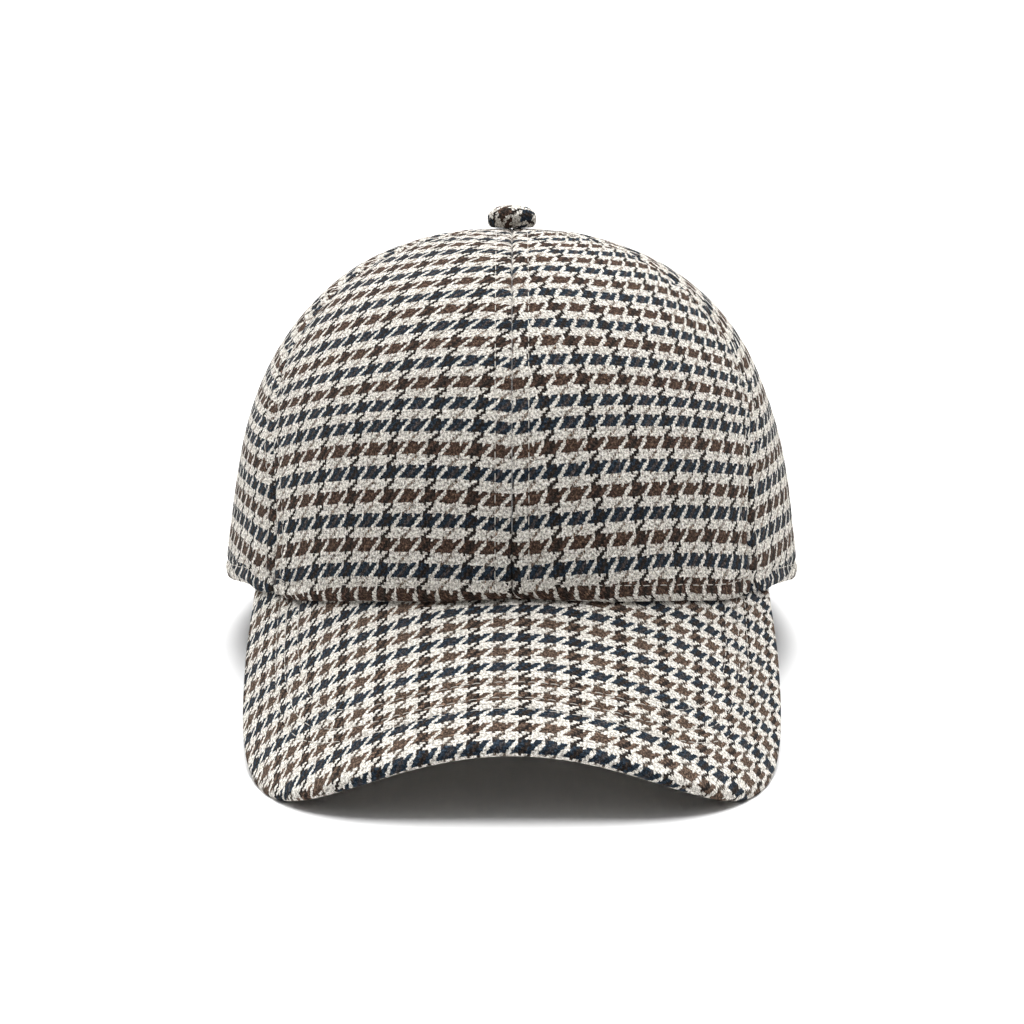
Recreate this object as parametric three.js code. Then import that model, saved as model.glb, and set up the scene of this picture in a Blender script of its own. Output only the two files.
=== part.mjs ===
// A six-panel cap in checked wool cloth: a domed crown of six sewn panels, a bent peak in front
// and a cloth-covered button on top. The back is closed and the crown is hollow and open below.
//
// Millimetres, +Z up, the peak towards -Y. The shapes are worked out in the cap's own frame, whose
// z = 0 is the rim's height at the middle of the front. The whole cap then leans back until the rear
// rim and the peak's two front corners stand on the floor, where the cloth is pressed flat.
import * as THREE from 'three';

// Crown, measured on its outer face
const CROWN_HALF_WIDTH = 86.6;
const CROWN_HALF_LENGTH = 103.2;
const CROWN_HEIGHT = 101.3;
const CROWN_APEX_SET_BACK = 4;
const DOME_POWER_FRONT = 2.5;
const DOME_POWER_SIDE = 2.39;
const DOME_POWER_BACK = 2.2;

// Cloth walls: one thickness above, the turned hem along the rim, and the dip along each seam
const CLOTH_THICKNESS = 2;
const HEM_THICKNESS = 3.4;
const HEM_HEIGHT = 13;
const HEM_ROUNDING = 1.3;
const HEM_FLARE = 0.8;
const HEM_FLARE_HEIGHT = 18;
const SEAM_DIP = 0.9;
const SEAM_DIP_WIDTH = 5;
const SEAM_DIP_FADE_RADIUS = 30;

// Seams between the panels, as angles round the crown from the front, in degrees.
// Each runs at its rim angle low down and drifts to its top angle as it climbs.
const FRONT_SEAM = { rim: 54.3, top: 70.5, driftFrom: 4, driftTo: 42 };
const BACK_SEAM = { rim: 115, top: 123, driftFrom: 0, driftTo: 60 };
const SEAM_GAP = 0.34;
const TOP_HOLE_RADIUS = 2;

// Peak, a sheet that slopes down to the front and bends down to both sides
const PEAK_SLOPE = 30;
const PEAK_LENGTH = 56.2;
const PEAK_HALF_WIDTH = 78.2;
const PEAK_CORNER_POWER = 4.2;
const PEAK_THICKNESS = 3.6;
const PEAK_HALF_ANGLE = 63;
const PEAK_BEND_SPAN = 60;
const PEAK_BEND = 19;
const PEAK_EDGE_BEND = 1.5;
const PEAK_TUCK = 4.4;
const PEAK_SIDE_RUN = 30;
const RIM_GAP = 0.36;

// Behind the peak the rim runs level, a little lower than at the middle of the front
const REAR_RIM_HEIGHT = -5;
const RIM_LEVELLING_ANGLE = 22;

// Button
const BUTTON_RADIUS = 7.6;
const BUTTON_HEIGHT = 6.3;
const BUTTON_EDGE_HEIGHT = 1.1;
const BUTTON_WIDEST_TURN = 0.2;
const BUTTON_FLATNESS = 0.7;
const BUTTON_FOOT_RADIUS = 6;
const BUTTON_GAP = 0.3;
const BUTTON_SHANK_RADIUS = 1.2;
const BUTTON_SHANK_LENGTH = 5;

// How far the lowest points would sink through the floor before they are pressed flat
const PRESSED_FLAT = 0.6;

// The lean that levels the rear rim and the peak's corners lies in this range, in degrees
const LEAN_RANGE = [5, 20];
const LEAN_STEPS = 30;

// Facets
const PANEL_COLUMNS = 12;
const PANEL_ROWS = 16;
const ROW_SPREAD = 1.2;
const HEM_STEPS = 4;
const PEAK_COLUMNS = 42;
const PEAK_ROWS = 8;
const PEAK_EDGE_STEPS = 3;
const BUTTON_SEGMENTS = 24;
const BUTTON_ARC_STEPS = 8;
const OUTLINE_SAMPLES = 400;

const CLOTH = { color: 0x968a7e, roughness: 0.95, metalness: 0 };

const radians = THREE.MathUtils.degToRad;

// 0 below from, 1 above to, and an even ease between them
function ease(value, from, to) {
  return THREE.MathUtils.smoothstep(value, from, to);
}

// Height of the peak's upper face over the point x, y: a plane that falls to the front,
// less a bend that grows with the square and the fourth power of the distance from the middle
function peakSurface(x, y) {
  const across = Math.abs(x) / PEAK_BEND_SPAN;
  const slope = Math.tan(radians(PEAK_SLOPE)) * (y + CROWN_HALF_LENGTH);
  return slope - PEAK_BEND * across ** 2 - PEAK_EDGE_BEND * across ** 4;
}

// Direction out of the peak's upper face over the point x, y
function peakNormal(x, y) {
  const across = Math.abs(x) / PEAK_BEND_SPAN;
  const fall = (2 * PEAK_BEND * across + 4 * PEAK_EDGE_BEND * across ** 3) / PEAK_BEND_SPAN;
  return new THREE.Vector3(Math.sign(x) * fall, -Math.tan(radians(PEAK_SLOPE)), 1).normalize();
}

// Point in plan on the rim, moved inwards by depth
function rimPlan(angle, depth) {
  const x = (CROWN_HALF_WIDTH - depth) * Math.sin(angle);
  const y = -(CROWN_HALF_LENGTH - depth) * Math.cos(angle);
  return { x, y };
}

// Height of the rim's lower edge: it lies on the peak in front and comes level behind it
function rimHeight(angle, depth) {
  const peakEnd = radians(PEAK_HALF_ANGLE);
  const nearest = THREE.MathUtils.clamp(angle, -peakEnd, peakEnd);
  const { x, y } = rimPlan(nearest, depth);
  const past = ease(Math.abs(angle) - peakEnd, 0, radians(RIM_LEVELLING_ANGLE));
  return THREE.MathUtils.lerp(peakSurface(x, y) + RIM_GAP, REAR_RIM_HEIGHT, past);
}

// Power of the dome's curve at an angle: squarer in front, rounder behind
function domePower(angle) {
  const towardsFront = Math.max(Math.cos(angle), 0) ** 2;
  const towardsBack = Math.max(-Math.cos(angle), 0) ** 2;
  return DOME_POWER_SIDE
    + (DOME_POWER_FRONT - DOME_POWER_SIDE) * towardsFront
    + (DOME_POWER_BACK - DOME_POWER_SIDE) * towardsBack;
}

// Point on the crown at an angle round it and a lift from the rim (0) to the apex (a right angle),
// moved inwards by depth
function crownPoint(angle, lift, depth) {
  const power = 2 / domePower(angle);
  const out = Math.cos(lift) ** power;
  const up = Math.sin(lift) ** power;
  const rim = rimPlan(angle, depth);
  const foot = rimHeight(angle, depth) + HEM_ROUNDING;
  const y = rim.y * out + CROWN_APEX_SET_BACK * (1 - out);
  return new THREE.Vector3(rim.x * out, y, foot + (CROWN_HEIGHT - depth - foot) * up);
}

// Angle of a seam at a lift
function seamAngle(seam, lift) {
  const drift = ease(THREE.MathUtils.radToDeg(lift), seam.driftFrom, seam.driftTo);
  return radians(seam.rim + (seam.top - seam.rim) * drift);
}

const centreFront = () => 0;
const frontSeam = (lift) => seamAngle(FRONT_SEAM, lift);
const backSeam = (lift) => seamAngle(BACK_SEAM, lift);
const centreBack = () => Math.PI;

// Lift of a row, from just above the hem to the hole under the button
function rowLift(row) {
  const hole = (TOP_HOLE_RADIUS / CROWN_HALF_WIDTH) ** (DOME_POWER_SIDE / 2);
  return Math.acos(hole) * (row / PANEL_ROWS) ** ROW_SPREAD;
}

// Distance from the dome's axis at a lift, near enough for gaps and fades
function planRadius(lift) {
  return CROWN_HALF_WIDTH * Math.cos(lift) ** (2 / DOME_POWER_SIDE);
}

// A panel's column at one share of the way from its first seam to its second:
// the angle at a lift, and how far the seam dip draws the cloth in there
function panelColumn(firstSeam, secondSeam, share) {
  const inset = (lift) => Math.asin(SEAM_GAP / 2 / planRadius(lift));
  const angle = (lift) => {
    const first = firstSeam(lift) + inset(lift);
    const second = secondSeam(lift) - inset(lift);
    return first + (second - first) * share;
  };
  const dip = (lift) => {
    const width = (secondSeam(lift) - firstSeam(lift)) * planRadius(lift);
    const reach = Math.min(share, 1 - share) * width / SEAM_DIP_WIDTH;
    return SEAM_DIP * Math.exp(-reach * reach) * ease(planRadius(lift), 0, SEAM_DIP_FADE_RADIUS);
  };
  return { angle, dip };
}

// Closed ring of points round a panel's wall at one column:
// down the outer face, round the hem and up the inner face
function panelRing({ angle, dip }) {
  const outer = [];
  const inner = [];
  for (let row = PANEL_ROWS; row > 0; row -= 1) {
    const lift = rowLift(row);
    const height = crownPoint(angle(lift), lift, 0).z - rimHeight(angle(lift), 0);
    const depth = dip(lift) - HEM_FLARE * (1 - ease(height, 0, HEM_FLARE_HEIGHT));
    const turned = 1 - ease(height, HEM_HEIGHT - 2, HEM_HEIGHT + 2);
    const wall = CLOTH_THICKNESS + (HEM_THICKNESS - CLOTH_THICKNESS) * turned;
    outer.push(crownPoint(angle(lift), lift, depth));
    inner.unshift(crownPoint(angle(lift), lift, depth + wall));
  }
  const hem = [];
  for (let step = 0; step <= HEM_STEPS; step += 1) {
    const turn = Math.PI * step / HEM_STEPS;
    const depth = dip(0) - HEM_FLARE + HEM_THICKNESS / 2 * (1 - Math.cos(turn));
    const point = crownPoint(angle(0), 0, depth);
    point.z -= HEM_ROUNDING * Math.sin(turn);
    hem.push(point);
  }
  return [...outer, ...hem, ...inner];
}

// Shares of the way across, closer together beside the seams
function columnShares(count) {
  return Array.from({ length: count + 1 }, (_, k) => (1 - Math.cos(Math.PI * k / count)) / 2);
}

function panelGeometry(firstSeam, secondSeam) {
  const columns = columnShares(PANEL_COLUMNS).map((share) => panelColumn(firstSeam, secondSeam, share));
  return ringSolid(columns.map(panelRing));
}

// Outer edge of the peak in plan, from one end under the rim round the front to the other
class PeakOutline extends THREE.Curve {
  getPoint(t, target = new THREE.Vector3()) {
    const turn = (t - 0.5) * Math.PI;
    const end = rimPlan(radians(PEAK_HALF_ANGLE), 0);
    const reach = PEAK_LENGTH + CROWN_HALF_LENGTH + end.y;
    const forward = reach * Math.abs(Math.cos(turn)) ** (2 / PEAK_CORNER_POWER);
    const side = Math.sign(turn) * Math.abs(Math.sin(turn)) ** (2 / PEAK_CORNER_POWER);
    const halfWidth = end.x + (PEAK_HALF_WIDTH - end.x) * ease(forward, 0, PEAK_SIDE_RUN);
    return target.set(side * halfWidth, end.y - forward, 0);
  }
}

// Point inside the peak's thickness over x, y, at a level from its upper face (0) to its lower (1)
function peakPoint(x, y, level) {
  const face = new THREE.Vector3(x, y, peakSurface(x, y));
  return face.addScaledVector(peakNormal(x, y), -PEAK_THICKNESS * level);
}

// Closed ring of points round the peak's thickness at one column:
// out along the upper face, round the edge and back along the lower face
function peakRing(from, to) {
  const length = from.distanceTo(to);
  const rounding = PEAK_THICKNESS / 2;
  const flat = length - rounding;
  const at = (distance, level) => {
    const place = from.clone().lerp(to, distance / length);
    return peakPoint(place.x, place.y, level);
  };
  const upper = [];
  const lower = [];
  for (let row = 0; row <= PEAK_ROWS; row += 1) {
    upper.push(at(flat * row / PEAK_ROWS, 0));
    lower.unshift(at(flat * row / PEAK_ROWS, 1));
  }
  const edge = [];
  for (let step = 1; step < 2 * PEAK_EDGE_STEPS; step += 1) {
    const turn = Math.PI * step / (2 * PEAK_EDGE_STEPS);
    edge.push(at(flat + rounding * Math.sin(turn), (1 - Math.cos(turn)) / 2));
  }
  return [...upper, ...edge, ...lower];
}

function peakGeometry() {
  const outline = new PeakOutline();
  outline.arcLengthDivisions = OUTLINE_SAMPLES;
  const rings = outline.getSpacedPoints(PEAK_COLUMNS).map((outerPoint, k) => {
    const angle = radians(PEAK_HALF_ANGLE) * (2 * k / PEAK_COLUMNS - 1);
    const { x, y } = rimPlan(angle, PEAK_TUCK);
    return peakRing(new THREE.Vector3(x, y, 0), outerPoint);
  });
  return ringSolid(rings);
}

// Flattened dome with a narrower foot, over a shank that goes down through the crown's top hole
function buttonGeometry() {
  const profile = [
    new THREE.Vector2(0, -BUTTON_SHANK_LENGTH),
    new THREE.Vector2(BUTTON_SHANK_RADIUS, -BUTTON_SHANK_LENGTH),
    new THREE.Vector2(BUTTON_SHANK_RADIUS, 0),
    new THREE.Vector2(BUTTON_FOOT_RADIUS, 0),
  ];
  for (let step = 1; step < BUTTON_ARC_STEPS; step += 1) {
    const turn = Math.PI / 2 * step / BUTTON_ARC_STEPS;
    const radius = BUTTON_RADIUS * Math.cos(turn - BUTTON_WIDEST_TURN) ** BUTTON_FLATNESS;
    const rise = (BUTTON_HEIGHT - BUTTON_EDGE_HEIGHT) * Math.sin(turn);
    profile.push(new THREE.Vector2(radius, BUTTON_EDGE_HEIGHT + rise));
  }
  profile.push(new THREE.Vector2(0, BUTTON_HEIGHT));
  const geometry = new THREE.LatheGeometry(profile, BUTTON_SEGMENTS);
  geometry.rotateX(Math.PI / 2);
  geometry.translate(0, CROWN_APEX_SET_BACK, CROWN_HEIGHT + BUTTON_GAP);
  return geometry;
}

// Closed solid through a row of closed rings, each with the same number of points.
// A ring runs out along one face of a wall and back along the other, so each end
// is closed by a strip between points that face each other.
function ringSolid(rings) {
  const ringSize = rings[0].length;
  const lastRing = rings.length - 1;
  const index = (ring, point) => ring * ringSize + point % ringSize;
  let triangles = [];
  const addQuad = (a, b, c, d) => triangles.push([a, b, c], [a, c, d]);
  for (let ring = 0; ring < lastRing; ring += 1) {
    for (let point = 0; point < ringSize; point += 1) {
      const next = ring + 1;
      addQuad(index(ring, point), index(ring, point + 1), index(next, point + 1), index(next, point));
    }
  }
  for (let near = 0, far = ringSize - 1; near + 1 < far; near += 1, far -= 1) {
    const corners = [far, far - 1, near + 1, near];
    addQuad(...corners.map((point) => index(0, point)));
    addQuad(...corners.reverse().map((point) => index(lastRing, point)));
  }
  triangles = triangles.filter((triangle) => new Set(triangle).size === 3);
  const points = rings.flat();
  if (signedVolume(points, triangles) < 0) {
    triangles.forEach((triangle) => triangle.reverse());
  }
  const geometry = new THREE.BufferGeometry().setFromPoints(points);
  geometry.setIndex(triangles.flat());
  geometry.computeVertexNormals();
  return geometry;
}

// Volume inside the triangles, negative where they face inwards
function signedVolume(points, triangles) {
  const volumeOf = ([a, b, c]) => points[a].dot(points[b].clone().cross(points[c])) / 6;
  return triangles.reduce((sum, triangle) => sum + volumeOf(triangle), 0);
}

function clothMesh(name, geometry) {
  const mesh = new THREE.Mesh(geometry, new THREE.MeshStandardMaterial(CLOTH));
  mesh.name = name;
  return mesh;
}

// Lowest height that a mesh reaches at the cap's present lean
function lowestHeight(mesh) {
  return new THREE.Box3().setFromObject(mesh, true).min.z;
}

// Leans the cap back until the peak's corners and the rear rim are level, by halving the range,
// then centres it and lets its lowest points sink by the height that is pressed flat
function standOnFloor(cap, peak, rearPanel) {
  let [low, high] = LEAN_RANGE.map(radians);
  for (let step = 0; step < LEAN_STEPS; step += 1) {
    const lean = (low + high) / 2;
    cap.rotation.x = -lean;
    cap.updateMatrixWorld(true);
    if (lowestHeight(peak) < lowestHeight(rearPanel)) {
      low = lean;
    } else {
      high = lean;
    }
  }
  const box = new THREE.Box3().setFromObject(cap, true);
  cap.position.set(0, -(box.min.y + box.max.y) / 2, -box.min.z - PRESSED_FLAT);
  cap.updateMatrixWorld(true);
}

// Presses flat what would lie under the floor
function pressFlat(mesh) {
  const position = mesh.geometry.getAttribute('position');
  const toCap = mesh.matrixWorld.clone().invert();
  const point = new THREE.Vector3();
  for (let k = 0; k < position.count; k += 1) {
    point.fromBufferAttribute(position, k).applyMatrix4(mesh.matrixWorld);
    if (point.z < 0) {
      point.setZ(0).applyMatrix4(toCap);
      position.setXYZ(k, point.x, point.y, point.z);
    }
  }
  mesh.geometry.computeVertexNormals();
}

// Left and right are as seen from in front of the peak
const mirrored = (seam) => (lift) => -seam(lift);
const peak = clothMesh('peak', peakGeometry());
const rearPanel = clothMesh('back_panel_right', panelGeometry(backSeam, centreBack));
const cap = new THREE.Group();
cap.add(
  clothMesh('front_panel_left', panelGeometry(mirrored(frontSeam), centreFront)),
  clothMesh('front_panel_right', panelGeometry(centreFront, frontSeam)),
  clothMesh('side_panel_left', panelGeometry(mirrored(backSeam), mirrored(frontSeam))),
  clothMesh('side_panel_right', panelGeometry(frontSeam, backSeam)),
  clothMesh('back_panel_left', panelGeometry(mirrored(centreBack), mirrored(backSeam))),
  rearPanel,
  peak,
  clothMesh('button', buttonGeometry()),
);
standOnFloor(cap, peak, rearPanel);
cap.children.forEach(pressFlat);

const houndstoothCap = new THREE.Group();
houndstoothCap.add(cap);

export default houndstoothCap;
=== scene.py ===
"""A six-panel cap in houndstooth wool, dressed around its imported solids.

Shapes are worked out in millimetres in the cap's own frame, whose z = 0 is the rim's height at
the middle of the front, with the peak towards -Y. rest() then leans them back onto the floor.
"""

import bpy
import numpy as np
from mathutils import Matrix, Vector


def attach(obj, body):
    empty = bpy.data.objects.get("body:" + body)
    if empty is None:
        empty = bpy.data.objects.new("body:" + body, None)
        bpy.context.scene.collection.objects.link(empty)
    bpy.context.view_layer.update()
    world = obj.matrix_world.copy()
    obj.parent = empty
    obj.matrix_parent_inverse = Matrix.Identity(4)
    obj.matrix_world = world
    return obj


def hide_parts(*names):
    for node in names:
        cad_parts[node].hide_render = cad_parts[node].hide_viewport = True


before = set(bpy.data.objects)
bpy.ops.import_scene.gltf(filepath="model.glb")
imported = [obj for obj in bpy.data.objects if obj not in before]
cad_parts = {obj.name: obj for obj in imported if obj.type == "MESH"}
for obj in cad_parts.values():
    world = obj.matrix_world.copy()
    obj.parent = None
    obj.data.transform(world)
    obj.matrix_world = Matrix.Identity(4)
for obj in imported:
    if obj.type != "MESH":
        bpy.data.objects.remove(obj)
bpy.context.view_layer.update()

# Crown, measured on its outer face, in millimetres
CROWN_HALF_WIDTH = 86.6
CROWN_HALF_LENGTH = 103.2
CROWN_HEIGHT = 101.3
CROWN_APEX_SET_BACK = 4.0
DOME_POWER_FRONT = 2.5
DOME_POWER_SIDE = 2.39
DOME_POWER_BACK = 2.2
TOP_HOLE_RADIUS = 1.6

# Walls of the crown
CLOTH_THICKNESS = 2.0
HEM_THICKNESS = 3.4
HEM_HEIGHT = 13.0
HEM_ROUNDING = 1.3
HEM_STEP = 2.0
HEM_FLARE = 0.8
HEM_FLARE_HEIGHT = 18.0

# Seams; their angles are in degrees round the crown from the middle of the front
FRONT_SEAM = {"rim": 54.3, "top": 70.5, "drift_from": 4.0, "drift_to": 42.0}
BACK_SEAM = {"rim": 115.0, "top": 123.0, "drift_from": 0.0, "drift_to": 60.0}
SEAM_GAP = 0.04
SEAM_DIP = 0.9
SEAM_DIP_WIDTH = 5.0
SEAM_DIP_FADE_RADIUS = 30.0
SEAM_EDGE_RADIUS = 1.1
SEAM_EDGE_MOST_SHARE = 0.3

# Topstitching beside the seams and along the hem
TOPSTITCH_OFFSET = 4.8
TOPSTITCH_GROOVE = 0.35
TOPSTITCH_GROOVE_WIDTH = 0.7
TOPSTITCH_PUFF = 0.3
TOPSTITCH_PUFF_WIDTH = 1.3
HEM_STITCH_HEIGHT = 3.8
HEM_GROOVE = 0.5
HEM_GROOVE_WIDTH = 0.8
HEM_PUFF = 0.45
HEM_PUFF_WIDTH = 1.1
HEM_CURL = 1.9
HEM_CURL_FROM = 3.4
HEM_CURL_END = 1.6
STITCH_PULL_LEAST = 0.5
STITCH_PITCH = 3.1
STITCH_LENGTH = 2.7
STITCH_RADIUS = 0.12
STITCH_RISE = 0.22
STITCH_SINK = 0.08
STITCH_END_FULLNESS = 1.05
STITCH_LOOK_AHEAD = 0.2
STITCH_STEPS = 7
STITCH_SIDES = 6
STITCH_LEAST_WIDTH = 16.0

# Unevenness of the cloth: height, wavelength and where it shows, and how each sum of waves is made
SEAM_PUCKER = {"height": 0.22, "length": 9.0, "squeeze": 0.5, "middle": 5.0, "width": 6.0, "clear": 2.5}
HEM_PUCKER = {"height": 0.15, "length": 8.0, "squeeze": 0.3, "middle": 5.0, "width": 5.0}
SWELL = {"height": 0.3, "length": 45.0, "clear": 20.0}
PEAK_SWELL = {"height": 0.12, "length": 22.0, "seed": 5}
WAVE_COUNT = 8
WAVE_LENGTHS = (0.7, 1.5)
WAVE_SUM = 3.0

# Peak
PEAK_SLOPE = np.radians(30.0)
PEAK_LENGTH = 56.2
PEAK_HALF_WIDTH = 78.2
PEAK_CORNER_POWER = 4.2
PEAK_THICKNESS = 3.6
PEAK_HALF_ANGLE = np.radians(63.0)
PEAK_BEND_SPAN = 60.0
PEAK_BEND = 19.0
PEAK_EDGE_BEND = 1.5
PEAK_TUCK = 4.4
PEAK_SIDE_RUN = 30.0
PEAK_STITCH_ROWS = (13.4, 17.5, 23.5)
PEAK_GROOVE = 0.5
PEAK_GROOVE_WIDTH = 0.6
PEAK_GROOVE_FADE = (68.0, 74.0)
PEAK_RELIEF_FROM_EDGE = (0.5, 4.0)
PEAK_STITCH_END = 70.0

# Rim
RIM_GAP = 0.36
REAR_RIM_HEIGHT = -5.0
RIM_LEVELLING_ANGLE = np.radians(22.0)

# Button
BUTTON_RADIUS = 7.6
BUTTON_HEIGHT = 6.9
BUTTON_EDGE_HEIGHT = 2.2
BUTTON_WIDEST_TURN = 0.2
BUTTON_FLATNESS = 0.7
BUTTON_TOP_FLATNESS = 0.3
BUTTON_FOOT_RADIUS = 6.0
BUTTON_FOOT_START = 0.02
BUTTON_GAP = 0.3

# How the cap stands: leaning back on the peak's corners and the rear rim
REST_LEAN = 0.18439452903640363
REST_OFFSET = np.array([0.0, 29.73594291845, 22.98640179436958])

# Camera, in the cap's own frame: it looks level with the crown, from a little above
CAMERA_ELEVATION = np.radians(6.411)
CAMERA_DISTANCE = 1206.675
CAMERA_TARGET = np.array([0.02, 0.0, 13.973])
CAMERA_FOCAL_RATIO = 3904.8 / 1024
SENSOR_WIDTH = 36.0

# Grids of the fine surfaces, steps of the look-up curves, and the angle below which edges are smooth
PANEL_COLUMNS = 96
PANEL_EVEN_SHARE = 0.35
PANEL_ROWS = 150
PANEL_TRIAL_STEPS = 600
HEM_STEPS = 10
PEAK_COLUMNS = 300
PEAK_ROWS = 62
PEAK_EDGE_STEPS = 12
PEAK_OUTLINE_STEPS = 20001
BUTTON_SEGMENTS = 96
BUTTON_RINGS = 40
BUTTON_UNDER_STEPS = 7
BUTTON_FOOT_STEPS = 6
LEAN_REACH = 200.0
LEAN_STEPS = 4001
SMOOTH_BELOW = np.radians(60.0)

# Weave: threads run in groups, up the panel (warp) and across it (weft), and are counted from an edge
# of the dark warp group and from 12 threads below the first coloured weft group
GROUP = 4.0
WARP_SPACING = 0.80
WEFT_SPACING = 0.869
DARK_WARP_MIDDLE = 2
COLOURED_WEFT_MIDDLE = 14
LINE_STRAIGHTNESS = 0.45
COLOURED_GAIN = 0.25
CREAM_NARROWING = 0.28
TAN_NARROWING = 0.45
TAN_OVER_COLOUR = 0.45
CROWN_SLIP_ROW = 8
PEAK_SLIP_ROW = 5
BUTTON_SLIP_ROW = 50

# How the cloth lies on the front panels: its rows dip to the centre seam and arch between the seams,
# and higher up the warp leans towards the apex
WARP_LEAN_LOW = 0.075
WARP_LEAN_HIGH = 0.28
WARP_LEAN_FROM = 35.0
WARP_LEAN_TO = 90.0
ROW_ARCH = 0.00175
ROW_FALL_LEFT = 0.075
ROW_FALL_RIGHT = 0.125
ROW_FAN = 0.003
ROW_FAN_FROM = 50.0
ROW_PULL = 0.5
ROW_PULL_REACH = 4.5

# Where the first dark warp and the first coloured row lie: on the front panels from the centre seam and
# the rim, on the others from the panel's middle and the rim
FRONT_WARP_LEFT = -13.2
FRONT_WARP_RIGHT = 14.0
FRONT_ROW = 6.3
MIDDLE_WARP = 0.0
BACK_RIGHT_WARP = 3.0
MIDDLE_ROW = 1.1

# How the cloth lies on the peak and the button
PEAK_WARP_SCALE = 0.9
PEAK_WARP_CUBIC = 3.67e-5
PEAK_WARP_FIFTH = 6.0e-9
PEAK_WEFT_SCALE = 1.0646
PEAK_ROW_FAN = 0.000025
PEAK_WARP_AT = -9.6
PEAK_ROW_AT = 1.0
PEAK_EDGE_PULL = 1.6
PEAK_EDGE_PULL_REACH = 2.5
BUTTON_WARP_AT = -5.5
BUTTON_ROW_AT = 4.9

# Unevenness of the yarns, in threads; a noise is its scale, detail and roughness
ELSEWHERE = (37.0, 11.0)
WANDER_NOISE = (0.12, 1.0, 0.5)
WARP_WANDER = 1.2
WEFT_WANDER = 1.0
FRAY_NOISE = (0.7, 4.0, 0.85)
FRAY = 1.9
STREAK_NOISE = (1.0, 2.0, 0.6)
STREAK_SHRINK = (2.2, 0.7)
STREAK_CUT = (0.4, 0.56)
HAIR_NOISE = (1.0, 3.0, 0.65)
HAIR_THINNESS = 3.0
WEFT_HAIR_AT = 9.0
WEFT_CHANCE_AT = 200.5
GRIT_NOISE = (1.1, 2.0, 0.8)
DARK_FLECK_NOISE = (1.1, 2.0, 0.75)

# Tones: the darkest and palest yarn's brightness, then noises' low and high ends with the brightness or
# the flecks' share at each, the strength of the dark flecks and the least of the tan that shows
YARN_SHADES = (0.92, 1.12)
HAIR_TONES = (0.35, 0.65, -0.25, 0.25)
GRIT_TONES = (0.34, 0.66, -0.6, 0.6)
PALE_FLECKS = (0.5, 0.68, 0.0, 0.7)
DARK_FLECK_CUT = (0.5, 0.64)
CROWN_DIRT = 0.85
PEAK_DIRT = 0.6
BUTTON_DIRT = 1.0
CROWN_TAN_SHOW = 0.35
PEAK_TAN_SHOW = 0.85
THREAD_GRAIN = 900.0
THREAD_SHADES = (0.3, 0.7, 0.82, 1.0)

# Relief and finish of the surfaces
FLOAT_FOOT = 0.6
HAIR_RELIEF = 1.2
BUMP_STRENGTH = 0.8
BUMP_HEIGHT = 0.3
WOOL_ROUGHNESS = 0.95
WOOL_SPECULAR = 0.08
SHEEN_WEIGHT = 0.03
SHEEN_ROUGHNESS = 0.5
SHEEN_TINT = (1.0, 0.96, 0.9, 1.0)
THREAD_ROUGHNESS = 0.6
THREAD_SPECULAR = 0.3
FLOOR_ROUGHNESS = 0.9
FLOOR_SPECULAR = 0.1

# Colours, linear; pale hairs lighten the yarn below them, and dark hairs darken it
CREAM = (0.80, 0.76, 0.69)
NAVY = (0.0155, 0.025, 0.038)
DARK_BROWN = (0.021, 0.0165, 0.0145)
BROWN = (0.058, 0.036, 0.0275)
TAN = (0.12, 0.080, 0.055)
PEAK_BROWN = (0.095, 0.065, 0.049)
PEAK_TAN = (0.058, 0.043, 0.033)
PALE_HAIR = (0.68, 0.66, 0.63)
DARK_HAIR = (0.22, 0.185, 0.15)
THREAD = (0.68, 0.64, 0.58)
FLOOR_COLOUR = (0.93, 0.93, 0.93)

# Light: a surround that is dim in front and bright behind, and one broad overhead lamp, a little behind
AMBIENT_FRONT = 0.10
AMBIENT_BACK = 0.85
AMBIENT_TURN = 0.6
OVERHEAD = 5.2
OVERHEAD_SPREAD = np.radians(50.0)
OVERHEAD_TILT = np.radians(-20.0)

# Stage, in metres
FLOOR_HALF_WIDTH = 6.0
CAMERA_CLIP_START = 0.05
CAMERA_CLIP_END = 50.0

MILLIMETRE = 0.001


def ease(value, start, end):
    """0 below start, 1 above end, and 3t2 - 2t3 between them."""
    t = np.clip((value - start) / (end - start), 0, 1)
    return t * t * (3 - 2 * t)


def bell(value, centre, width):
    """Gaussian bump of height 1."""
    return np.exp(-((value - centre) / width) ** 2)


def waves(a, b, length, seed):
    """Sum of sine waves of about one wavelength, in fixed chance directions, within about -1 to 1."""
    rng = np.random.default_rng(seed)
    total = np.zeros(np.broadcast(a, b).shape)
    for _ in range(WAVE_COUNT):
        turn, phase = rng.uniform(0, 2 * np.pi, 2)
        size = 2 * np.pi / (length * rng.uniform(*WAVE_LENGTHS))
        total = total + np.sin(size * (a * np.cos(turn) + b * np.sin(turn)) + phase)
    return total / WAVE_SUM


def peak_surface(x, y):
    """Plane that falls to the front at PEAK_SLOPE, less a bend with the square and fourth power of x."""
    across = np.abs(x) / PEAK_BEND_SPAN
    slope = np.tan(PEAK_SLOPE) * (y + CROWN_HALF_LENGTH)
    return slope - PEAK_BEND * across**2 - PEAK_EDGE_BEND * across**4


def peak_normal(x):
    """Unit direction out of the peak's upper face, from the slopes of peak_surface."""
    across = np.abs(x) / PEAK_BEND_SPAN
    fall = (2 * PEAK_BEND * across + 4 * PEAK_EDGE_BEND * across**3) / PEAK_BEND_SPAN
    normal = np.stack([np.sign(x) * fall, np.full_like(x, -np.tan(PEAK_SLOPE)), np.ones_like(x)], -1)
    return normal / np.linalg.norm(normal, axis=-1, keepdims=True)


def rim_plan(angle, depth):
    """Ellipse in plan, moved inwards by depth."""
    x = (CROWN_HALF_WIDTH - depth) * np.sin(angle)
    y = -(CROWN_HALF_LENGTH - depth) * np.cos(angle)
    return x, y


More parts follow.
